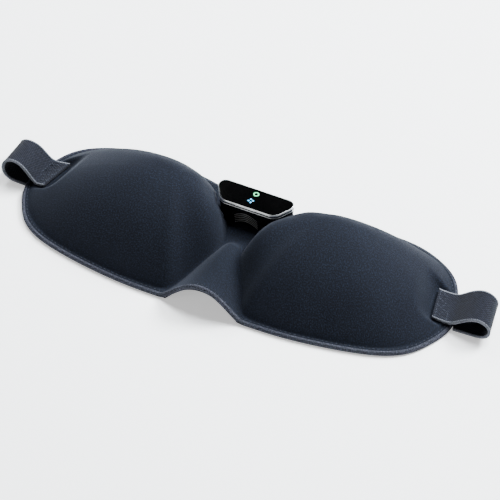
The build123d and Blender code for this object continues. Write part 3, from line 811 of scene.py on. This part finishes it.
class MaskSizes(bpy.types.PropertyGroup):
    """Sizes that a maker would change."""

    binding_width: bpy.props.FloatProperty(
        name="Binding width", description="Width of the rolled edge", unit="LENGTH",
        default=2.1 * MM,
    )
    stitch_pitch: bpy.props.FloatProperty(
        name="Stitch pitch", description="Distance between edge stitches", unit="LENGTH",
        default=2.3 * MM,
    )
    webbing_thickness: bpy.props.FloatProperty(
        name="Webbing thickness", description="Thickness of the strap loops", unit="LENGTH",
        default=1.2 * MM,
    )
    rib_count: bpy.props.IntProperty(
        name="Grille ribs", description="Ribs on the module's front", default=5, min=1
    )


class MaskFinishes(bpy.types.PropertyGroup):
    """Colours and glow of the mask."""

    knit_color: color_prop("Knit", "Outer jersey", (0.0027, 0.0040, 0.0076))
    liner_color: color_prop("Liner", "Jersey on the face side", (0.0034, 0.004, 0.006))
    binding_color: color_prop("Binding", "Rolled edge", (0.022, 0.0235, 0.031))
    thread_color: color_prop("Thread", "Edge stitches", (0.02, 0.023, 0.031))
    webbing_color: color_prop("Webbing", "Strap loops", (0.0046, 0.0054, 0.0092))
    # colour of the webbing's edge faces, far lighter than the webbing: a painted highlight along
    # its edges
    painted_edge_highlight_color: color_prop("Selvedge", "Edges of the webbing", (0.08, 0.085, 0.1))
    shell_color: color_prop("Shell", "Control module", (0.003, 0.003, 0.0035))
    trim_color: color_prop("Trim", "Bright line round the key", (0.86, 0.88, 0.9))
    ring_color: color_prop("Ring", "Lit ring", (0.12, 0.75, 0.32))
    dot_color: color_prop("Dots", "Lit dots", (0.08, 0.5, 0.9))
    glow: bpy.props.FloatProperty(
        name="Glow", description="Strength of the lit marks", default=0.4, min=0
    )


class PieceOperator(bpy.types.Operator):
    """Common settings of the piece operators."""

    bl_options = {"REGISTER", "UNDO"}


def side_sign(side):
    return -1 if side == "left" else 1


def flex(piece):
    """Bake a soft piece's transform into its mesh."""
    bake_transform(piece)
    return piece


class MASK_OT_cups(PieceOperator):
    """Padded outer halves: cup, its share of the bridge and the nose vault"""

    bl_idname = "mask.cups"
    bl_label = "Cups"

    def execute(self, context):
        for side in ("left", "right"):
            sign = side_sign(side)
            piece = half_sheet(
                f"{side}_pad", sign, outer_height,
                lambda x, y: np.maximum(outer_height(x, y) - 1.2, face_height(x, y) + 1.1),
                CROWN, outer_height,
            )
            dress(piece, "cover_knit")
            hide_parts(f"{side}_cover", f"{side}_foam")
            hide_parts("nose_vault" if side == "left" else "bridge_deck")
            flex(piece)
        return {"FINISHED"}


class MASK_OT_liners(PieceOperator):
    """Inner halves: flat face cloth, hollow before the eye and nose tunnel"""

    bl_idname = "mask.liners"
    bl_label = "Face liners"

    def execute(self, context):
        for side in ("left", "right"):
            piece = half_sheet(
                f"{side}_face_cloth", side_sign(side),
                lambda x, y: face_height(x, y) + 1.0, face_height,
                EYE_CENTRE, face_height,
            )
            dress(piece, "liner_knit")
            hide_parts(f"{side}_liner", f"{side}_heater")
            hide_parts("nose_liner" if side == "left" else "bridge_liner")
            flex(piece)
        return {"FINISHED"}


def edge_path(inset, rim_z, arch_drop, count=420, arch_count=60):
    """Path round the right half's edge and up over the nose arch, with its outward side."""
    rim = half_outline(inset, count)[:count]
    run = np.gradient(rim, axis=0)
    out = np.stack([-run[:, 1], run[:, 0], np.zeros(count)], 1)
    rim3 = np.column_stack([rim, np.full(count, rim_z)])
    xs = np.linspace(rim[-1][0] - 0.8, 0, arch_count)
    ys = np.full(arch_count, NOSE_Y + inset)
    arch = np.column_stack([xs, ys, np.maximum(outer_height(xs, ys) - arch_drop, rim_z)])
    arch_out = np.tile([0.0, -1.0, 0.0], (arch_count, 1))
    return np.vstack([rim3[:-2], arch]), np.vstack([out[:-2], arch_out])


class MASK_OT_binding(PieceOperator):
    """Rolled edge round the mask and over the nose arch"""

    bl_idname = "mask.binding"
    bl_label = "Edge binding"

    def execute(self, context):
        width = context.scene.mask_sizes.binding_width / MM
        path, out = edge_path(width / 2 - 0.1, 1.32, 1.15)
        section = rounded_section(width, 2.5, 2.6)
        for side in ("left", "right"):
            sign = side_sign(side)
            piece = swept(f"{side}_edge", path * [sign, 1, 1], out * [sign, 1, 1], section)
            dress(piece, "binding_knit")
            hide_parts(f"{side}_binding")
            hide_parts("nose_binding" if side == "left" else "brow_binding")
            flex(piece)
        return {"FINISHED"}


TAIL_MIDDLE = (110.0, 7.5)
TAIL_CLEAR = 10.5             # no edge stitches this near to the middle of a sewn end


def kept_runs(points, keep):
    """Stretches of five points or more between the ones left out."""
    parts = np.split(np.arange(len(points)), np.flatnonzero(~keep))
    parts = [part if k == 0 else part[1:] for k, part in enumerate(parts)]
    return [points[part] for part in parts if len(part) > 4]


class MASK_OT_stitches(PieceOperator):
    """Running stitches beside the rolled edge"""

    bl_idname = "mask.stitches"
    bl_label = "Edge stitches"

    def execute(self, context):
        sizes = context.scene.mask_sizes
        width = sizes.binding_width / MM
        shape = capsule(1.35, 0.34, 0.3)
        path, _ = edge_path(width + 0.35, FLANGE + 0.1, -0.12)
        keep = np.linalg.norm(path[:, :2] - TAIL_MIDDLE, axis=1) > TAIL_CLEAR
        for side in ("left", "right"):
            parts = kept_runs(path * [side_sign(side), 1, 1], keep)
            piece = laid_along(
                f"{side}_edge_stitches", parts, sizes.stitch_pitch / MM, shape, "thread"
            )
            flex(piece)
        bpy.data.objects.remove(shape)
        return {"FINISHED"}


PIVOT_Z = 4.2                 # height of the line at the rim that a loop bends about
LOOP_LINE = {                 # centre line of the webbing seen from the nose side, x and z
    "right": [
        (110.5, 4.4), (113.2, 5.0), (116, 6.7), (119.3, 9.1), (122.8, 11.2), (126.6, 12.4),
        (130.2, 11.9), (132.8, 9.6), (133.1, 6.6), (131, 3.3), (127.4, 1.9), (122.5, 1.5),
        (118.0, 1.3), (113.7, 1.15),
    ],
    "left": [
        (108.6, 4.4), (111.8, 6.9), (114.6, 10.4), (117.6, 13.3), (121.2, 14.6), (124.9, 13.7),
        (127.1, 10.0), (126.7, 4.9), (124.0, 2.2), (119.2, 1.3), (113.6, 1.15),
    ],
}
SETTLE_START, SETTLE_RUN = 1.0, 8.0     # where the tail's slant turns into the loop's
SELVEDGE, SWELL = 0.1, 0.25             # share of the half width, and how much thicker
LOOP_FLOOR = 0.8
BACK_WEAVE = 40               # keeps the back's weave map beside the front's
LOOP_SKEW = {"right": 2.2, "left": 0.2}       # slant of a loop's end, each way from its middle
LOOP_TAPER = {"right": -0.1, "left": 0.2}     # how much flatter a loop is on its brow side


def loop_path(side, count=240):
    """Centre line of the webbing, in the plane X-Z, from sewn tail to its return at the rim."""
    between = (TAIL_LOW[0] + LOOP_LINE[side][0][0]) / 2
    tail = [(TAIL_LOW[0], PIVOT_Z + 0.7), (between, PIVOT_Z + 0.2)]
    return smooth_line(tail + LOOP_LINE[side], count)


class MASK_OT_webbing(PieceOperator):
    """Webbing loops for a head strap, each one band from sewn tail to return"""

    bl_idname = "mask.webbing"
    bl_label = "Webbing loops"

    def execute(self, context):
        thick = context.scene.mask_sizes.webbing_thickness / MM
        middle = (TAIL_LOW[1] + TAIL_HIGH[1]) / 2
        half = (TAIL_HIGH[1] - TAIL_LOW[1]) / 2
        for side in ("left", "right"):
            sign = side_sign(side)
            line = loop_path(side)
            path = np.column_stack([sign * line[:, 0], np.full(len(line), middle), line[:, 1]])
            normal = np.cross(unit_rows(np.gradient(path, axis=0)), [0, sign, 0])
            across = np.linspace(-1, 1, 33)
            swell = 1 + SWELL * np.clip((np.abs(across) - 1 + SELVEDGE) / SELVEDGE, 0, 1)
            verts, uvs = [], []
            length = run_lengths(path)
            settle = ease((np.abs(path[:, 0]) - TAIL_LOW[0] - SETTLE_START) / SETTLE_RUN)
            lean = TAIL_SKEW + (LOOP_SKEW[side] - TAIL_SKEW) * settle
            flat = LOOP_TAPER[side] * settle
            for p, n, s, k, f in zip(path, normal, length, lean, flat):
                ring = [(a, thick / 2 * w) for a, w in zip(across, swell)]
                ring += [(a, -h) for a, h in reversed(ring)]
                for a, h in ring:
                    drop = f * (a + 1) / 2 * (p[2] - LOOP_FLOOR)
                    verts.append(p + np.array([-sign * a * k, a * half, -drop]) + n * h)
                    uvs.append((s, a * half + (BACK_WEAVE if h < 0 else 0)))
            columns = 2 * len(across)
            faces = tube_faces(len(path), columns)
            piece = face_out(mesh_object(f"{side}_webbing", verts, faces, uvs))
            dress(piece, "webbing")
            # the band's edge faces take the lighter material, a painted highlight along both edges
            # of the webbing
            piece.data.materials.append(finish_of("painted_edge_highlight"))
            edge = {0, len(across) - 2, len(across) - 1, len(across), columns - 2, columns - 1}
            for polygon in piece.data.polygons[: columns * (len(path) - 1)]:
                polygon.material_index = int(polygon.index % columns in edge)
            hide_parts(f"{side}_strap_tail", f"{side}_strap_loop")
            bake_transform(piece)
        return {"FINISHED"}


class MASK_OT_tacks(PieceOperator):
    """Box of zigzag stitches that holds each sewn tail"""

    bl_idname = "mask.tacks"
    bl_label = "Strap stitches"

    def execute(self, context):
        shape = capsule(1.5, 0.42, 0.36)
        y0, y1 = TAIL_LOW[1] + 1.6, TAIL_HIGH[1] - 1.6
        x0, x1 = TAIL_LOW[0] + 1.2, TAIL_HIGH[0] - 3.4
        middle = (y0 + y1) / 2
        thick = context.scene.mask_sizes.webbing_thickness / MM
        corners = [(x0, y0), (x1, y0), (x1, y1), (x0, y1), (x0, y0)]
        teeth = 7
        zigzag = [
            (x0 + (0.6 if k % 2 else x1 - x0 - 0.6), y0 + (y1 - y0) * k / teeth)
            for k in range(teeth + 1)
        ]
        steps = np.linspace(0, 1, 8)[:, None]
        for side in ("left", "right"):
            sign = side_sign(side)
            tail = loop_path(side)[:60]
            paths = []
            for start, end in [*zip(corners, corners[1:]), *zip(zigzag, zigzag[1:])]:
                plan = (1 - steps) * start + steps * end
                part = np.column_stack([sign * plan[:, 0], plan[:, 1], np.zeros(len(plan))])
                part[:, 2] = np.interp(plan[:, 0], tail[:, 0], tail[:, 1]) + thick / 2
                share = (part[:, 1] - middle) / (y1 - middle)
                part[:, 0] -= sign * TAIL_SKEW * 0.85 * share
                paths.append(part)
            piece = laid_along(f"{side}_strap_stitches", paths, 1.75, shape, "thread")
            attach(piece, f"{side}_cup")
        bpy.data.objects.remove(shape)
        return {"FINISHED"}


def cut(piece, cutter):
    """Cut a closed shape out of a piece and drop the shape."""
    modifier = piece.modifiers.new("cut", "BOOLEAN")
    modifier.object = cutter
    modifier.solver = "EXACT"
    graph = bpy.context.evaluated_depsgraph_get()
    made = bpy.data.meshes.new_from_object(piece.evaluated_get(graph))
    piece.modifiers.clear()
    old = piece.data
    piece.data = made
    bpy.data.meshes.remove(old)
    bpy.data.objects.remove(cutter)
    return sharpen(piece, 32)


PORT_CORNER = 1.45


def port_cutter():
    """Rounded slot in the back wall that opens it before the charging socket."""
    low, high = node_box("charging_socket")
    half_x, half_z = (high[0] - low[0] + 0.1) / 2, (high[2] - low[2] + 0.1) / 2
    middle_z = (low[2] + high[2]) / 2
    corners = [(half_x, half_z), (-half_x, half_z), (-half_x, -half_z), (half_x, -half_z)]
    ring = rounded_corners(corners, [PORT_CORNER] * 4, 8)
    outer = MODULE["back"] + 0.2
    depth = high[1] - low[1]
    verts = [(x, y, middle_z + z) for y in (outer + 0.6, outer - depth) for x, z in ring]
    return face_out(mesh_object("port_cut", verts, tube_faces(2, len(ring)), smooth=False))


class MASK_OT_module(PieceOperator):
    """Shells, seam line and bright trim of the control module"""

    bl_idname = "mask.module"
    bl_label = "Control module"

    def execute(self, context):
        base, top = MODULE_BASE, MODULE_TOP
        seam_low, seam_high = (corner[2] for corner in node_box("module_seam_band"))
        lower = module_body("module_lower_case", [
            wall(base, 1.1), wall(base, 0.45, 0.12), wall(base, 0.12, 0.45), wall(base + 1),
            wall(seam_low - 2), wall(seam_low, 0, -0.22), wall(seam_low, 0.1, -0.06),
            wall(seam_low, 0.4),
        ])
        cut(lower, port_cutter())
        dress(lower, "gloss_black")
        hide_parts("module_lower_shell")
        seam_rise = seam_high - seam_low
        seam = module_body("module_seam_line", [
            wall(seam_low, 0.5), wall(seam_low, 0, 0.02), wall(seam_low, -0.12, 0.12),
            wall(seam_low, -0.1, 0.2), wall(seam_low, 0.15, seam_rise),
            wall(seam_low, 0.5, seam_rise),
        ])
        dress(seam, "seam_trim")
        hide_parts("module_seam_band")
        upper = module_body("module_upper_case", [
            wall(seam_high, 0.4), wall(seam_high, 0.1, 0.06), wall(seam_high, 0, 0.22),
            (0.0, MODULE_BODY_TOP - 0.15), (0.0, MODULE_BODY_TOP), (0.55, MODULE_BODY_TOP),
        ])
        dress(upper, "gloss_black")
        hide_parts("module_upper_shell")
        trim = module_body("module_bright_trim", [
            (0.0, MODULE_BODY_TOP), (0.0, top - 0.75), (0.08, top - 0.55), (0.4, top - 0.12),
            (0.48, top - 0.08), (0.58, top - 0.12), (0.6, MODULE_BODY_TOP),
        ], ring=True)
        dress(trim, "bright_trim")
        trim.data.materials.append(finish_of("panel_black"))
        for polygon in trim.data.polygons:
            polygon.material_index = int(polygon.normal.z > 0.9)
        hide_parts("module_bezel")
        for piece, slot_name in (
            (lower, "shell_gloss"), (seam, "seam_metal"), (upper, "shell_gloss"),
            (trim, "bezel_metal"),
        ):
            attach(piece, "control_module")
        return {"FINISHED"}


RING_PROFILE = [              # radius and height over the key
    (1.45, -0.4), (1.45, 0.0), (1.4, 0.04), (0.95, 0.04), (0.9, 0.0), (0.9, -0.4),
]
DOT_PROFILE = [(0.5, -0.4), (0.5, 0.0), (0.42, 0.05), (0.2, 0.07)]
DOT_COUNT, DOT_CIRCLE, DOT_TURN = 4, 1.1, 20


class MASK_OT_key(PieceOperator):
    """Gloss key plate that is the module's top, with its lit ring and dots"""

    bl_idname = "mask.key"
    bl_label = "Key plate"

    def execute(self, context):
        top = node_box("key_plate")[1][2]
        bottom = top - 1.2
        plate = module_body("key_face", [
            (1.2, bottom), (0.74, bottom + 0.02), (0.72, bottom + 0.1), (0.72, top - 0.35),
            (0.76, top - 0.12), (0.88, top),
        ])
        dress(plate, "panel_black")
        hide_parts("key_plate")
        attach(plate, "key")
        for node, name, key, slot_name in (
            ("ring_light", "lit_ring", "ring_glow", "ring_green"),
            ("dot_lights", "lit_dots", "dot_glow", "dots_cyan"),
        ):
            low, high = node_box(node)
            x, y, z = (low[0] + high[0]) / 2, (low[1] + high[1]) / 2, high[2]
            if node == "ring_light":
                verts, faces = turned(RING_PROFILE, (x, y, z), 48, closed=True)
            else:
                turns = [math.radians(DOT_TURN + 360 / DOT_COUNT * k) for k in range(DOT_COUNT)]
                verts, faces = joined(turned(
                    DOT_PROFILE, (x + DOT_CIRCLE * math.cos(a), y + DOT_CIRCLE * math.sin(a), z), 20
                ) for a in turns)
            piece = face_out(mesh_object(name, verts, faces))
            dress(sharpen(piece, 50), key)
            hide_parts(node)
            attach(piece, "key")
        return {"FINISHED"}


class MASK_OT_grille(PieceOperator):
    """Ribs on the module's front, each with a shallow peak"""

    bl_idname = "mask.grille"
    bl_label = "Front grille"

    def execute(self, context):
        count = context.scene.mask_sizes.rib_count
        low, high = node_box("module_grille")
        reach = (high[0] - low[0]) / 2 - 0.3
        middle_x = (low[0] + high[0]) / 2
        fall = 0.5 * reach
        pitch = (high[2] - low[2] - fall - 0.5) / (count - 1)
        section = rounded_section(0.5, 0.46, 2.2, 8)
        ribs = []
        for k in range(count):
            peak = high[2] - 0.25 - k * pitch
            line = [
                (middle_x - reach, peak - fall), (middle_x - 0.5, peak - 0.25),
                (middle_x + 0.5, peak - 0.25), (middle_x + reach, peak - fall),
            ]
            route = smooth_line(line, 40)
            verts = [
                (x, MODULE["front"] + lean_at(z) + a, z + b) for x, z in route for a, b in section
            ]
            ribs.append((verts, tube_faces(len(route), len(section))))
        piece = face_out(mesh_object("front_ribs", *joined(ribs)))
        dress(piece, "rib_grey")
        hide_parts("module_grille")
        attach(piece, "control_module")
        return {"FINISHED"}


CAD_FINISHES = {
    "foam": "foam", "heater": "heater_film", "motor_can": "motor_steel",
    "motor_lid": "motor_steel", "motor_weight": "cast_weight", "dock_tray": "matt_black",
    "dock_magnets": "magnet_plate", "module_magnets": "magnet_plate", "dock_pins": "contact_gold",
    "module_contacts": "contact_gold", "module_screws": "motor_steel", "battery": "cell_foil",
    "charging_socket": "motor_steel", "circuit_board": "board", "key_switch": "matt_black",
    "cover": "cover_knit", "vault": "cover_knit", "deck": "cover_knit", "liner": "liner_knit",
    "binding": "binding_knit", "strap": "webbing", "grille": "rib_grey", "bezel": "bright_trim",
    "seam": "seam_trim", "shell": "gloss_black", "key_plate": "panel_black",
    "ring_light": "ring_glow", "dot_lights": "dot_glow",
}


class MASK_OT_inner_parts(PieceOperator):
    """Finishes of the frame's own parts"""

    bl_idname = "mask.inner_parts"
    bl_label = "Inner parts"

    def execute(self, context):
        for name, obj in NODES.items():
            key = next(value for part, value in CAD_FINISHES.items() if part in name)
            if len(obj.material_slots) == 0:
                obj.data.materials.append(None)
            for holder in obj.material_slots:
                holder.material = finish_of(key)
        return {"FINISHED"}


# ---- stage ---------------------------------------------------------------------------------
VIEW_AZIMUTH, VIEW_ELEVATION = 25.7, 44.7
VIEW_DISTANCE, VIEW_WIDTH = 5.0, 0.244022
AIM_RIGHT, AIM_UP = 5.61, 2.73          # point looked at from the origin, in millimetres
SENSOR = 36.0
FLOOR_REACH, FLOOR_Z = 6000.0, -0.15
COOL, WARM = (0.93, 0.97, 1.0), (1.0, 0.99, 0.97)
LIGHTS = [                    # name, place, size, power and colour; each is aimed at the origin
    ("key_light", (-0.75, 0.75, 1.0), 0.6, 20, COOL),
    ("back_light", (0.6, 0.85, 0.95), 0.6, 76, COOL),
    ("top_light", (0.25, 0.4, 1.25), 0.5, 30, COOL),
    ("trim_light", (-0.42, -1.0, 0.92), 0.5, 2.2, WARM),
]


def area_light(name, place, size, energy, color):
    data = bpy.data.lights.new(name, "AREA")
    data.shape, data.size, data.energy, data.color = "DISK", size, energy, color
    obj = link(name, data)
    obj.location = place
    obj.rotation_euler = (-Vector(place)).to_track_quat("-Z", "Y").to_euler()


class MASK_OT_stage(PieceOperator):
    """Pale floor, soft lights and the camera"""

    bl_idname = "mask.stage"
    bl_label = "Stage"

    def execute(self, context):
        scene = context.scene
        a, e = math.radians(VIEW_AZIMUTH), math.radians(VIEW_ELEVATION)
        right = Vector((math.cos(a), math.sin(a), 0))
        back = Vector((math.sin(a) * math.cos(e), -math.cos(a) * math.cos(e), math.sin(e)))
        up = back.cross(right)
        aim = (right * AIM_RIGHT + up * AIM_UP) * MM
        camera = link("camera", bpy.data.cameras.new("camera"))
        camera.data.sensor_width = SENSOR
        camera.data.lens = SENSOR * VIEW_DISTANCE / VIEW_WIDTH
        camera.location = aim + back * VIEW_DISTANCE
        camera.rotation_euler = Matrix((right, up, back)).transposed().to_euler()
        camera.data.clip_start, camera.data.clip_end = 0.1, 30
        scene.camera = camera
        corners = [
            (FLOOR_REACH * across, FLOOR_REACH * along, FLOOR_Z)
            for across, along in ((-1, -1), (1, -1), (1, 1), (-1, 1))
        ]
        floor = mesh_object("floor", corners, [(0, 1, 2, 3)], smooth=False)
        paper = Finish(
            "stage_paper", Roughness=0.9, Emission_Color=(1, 1, 1, 1), Emission_Strength=0.55
        )
        speck = paper.noise(paper.place(), 40.0, 2.0)
        paper.join(paper.mix(speck, grey(0.93), grey(0.95)), "Base Color")
        floor.data.materials.append(paper.material)
        floor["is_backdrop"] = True
        for light in LIGHTS:
            area_light(*light)
        world = bpy.data.worlds.new("studio")
        scene.world = world
        world.use_nodes = True
        sky = world.node_tree.nodes["Background"]
        sky.inputs["Color"].default_value = (0.95, 0.97, 1.0, 1)
        sky.inputs["Strength"].default_value = 0.12
        return {"FINISHED"}


class MASK_PT_panel(bpy.types.Panel):
    """Builders and settings of the mask"""

    bl_idname = "MASK_PT_panel"
    bl_label = "Eye massager mask"
    bl_space_type = "VIEW_3D"
    bl_region_type = "UI"
    bl_category = "Mask"

    def draw(self, context):
        for group in (context.scene.mask_sizes, context.scene.mask_finishes):
            for name in group.__annotations__:
                self.layout.prop(group, name)
        for operator in OPERATORS:
            self.layout.operator(operator.bl_idname)


OPERATORS = [
    MASK_OT_cups, MASK_OT_liners, MASK_OT_binding, MASK_OT_stitches, MASK_OT_webbing,
    MASK_OT_tacks, MASK_OT_module, MASK_OT_key, MASK_OT_grille, MASK_OT_inner_parts,
    MASK_OT_stage,
]
CLASSES = [MaskSizes, MaskFinishes] + OPERATORS + [MASK_PT_panel]


def register():
    for cls in CLASSES:
        bpy.utils.register_class(cls)
    bpy.types.Scene.mask_sizes = bpy.props.PointerProperty(type=MaskSizes)
    bpy.types.Scene.mask_finishes = bpy.props.PointerProperty(type=MaskFinishes)


def unregister():
    del bpy.types.Scene.mask_finishes
    del bpy.types.Scene.mask_sizes
    for cls in reversed(CLASSES):
        bpy.utils.unregister_class(cls)


def main():
    register()
    for build in (
        bpy.ops.mask.stage, bpy.ops.mask.cups, bpy.ops.mask.liners, bpy.ops.mask.binding,
        bpy.ops.mask.stitches, bpy.ops.mask.webbing, bpy.ops.mask.tacks, bpy.ops.mask.module,
        bpy.ops.mask.key, bpy.ops.mask.grille, bpy.ops.mask.inner_parts,
    ):
        build()
    visual = [list(corner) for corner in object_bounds()]


if __name__ == "__main__":
    main()
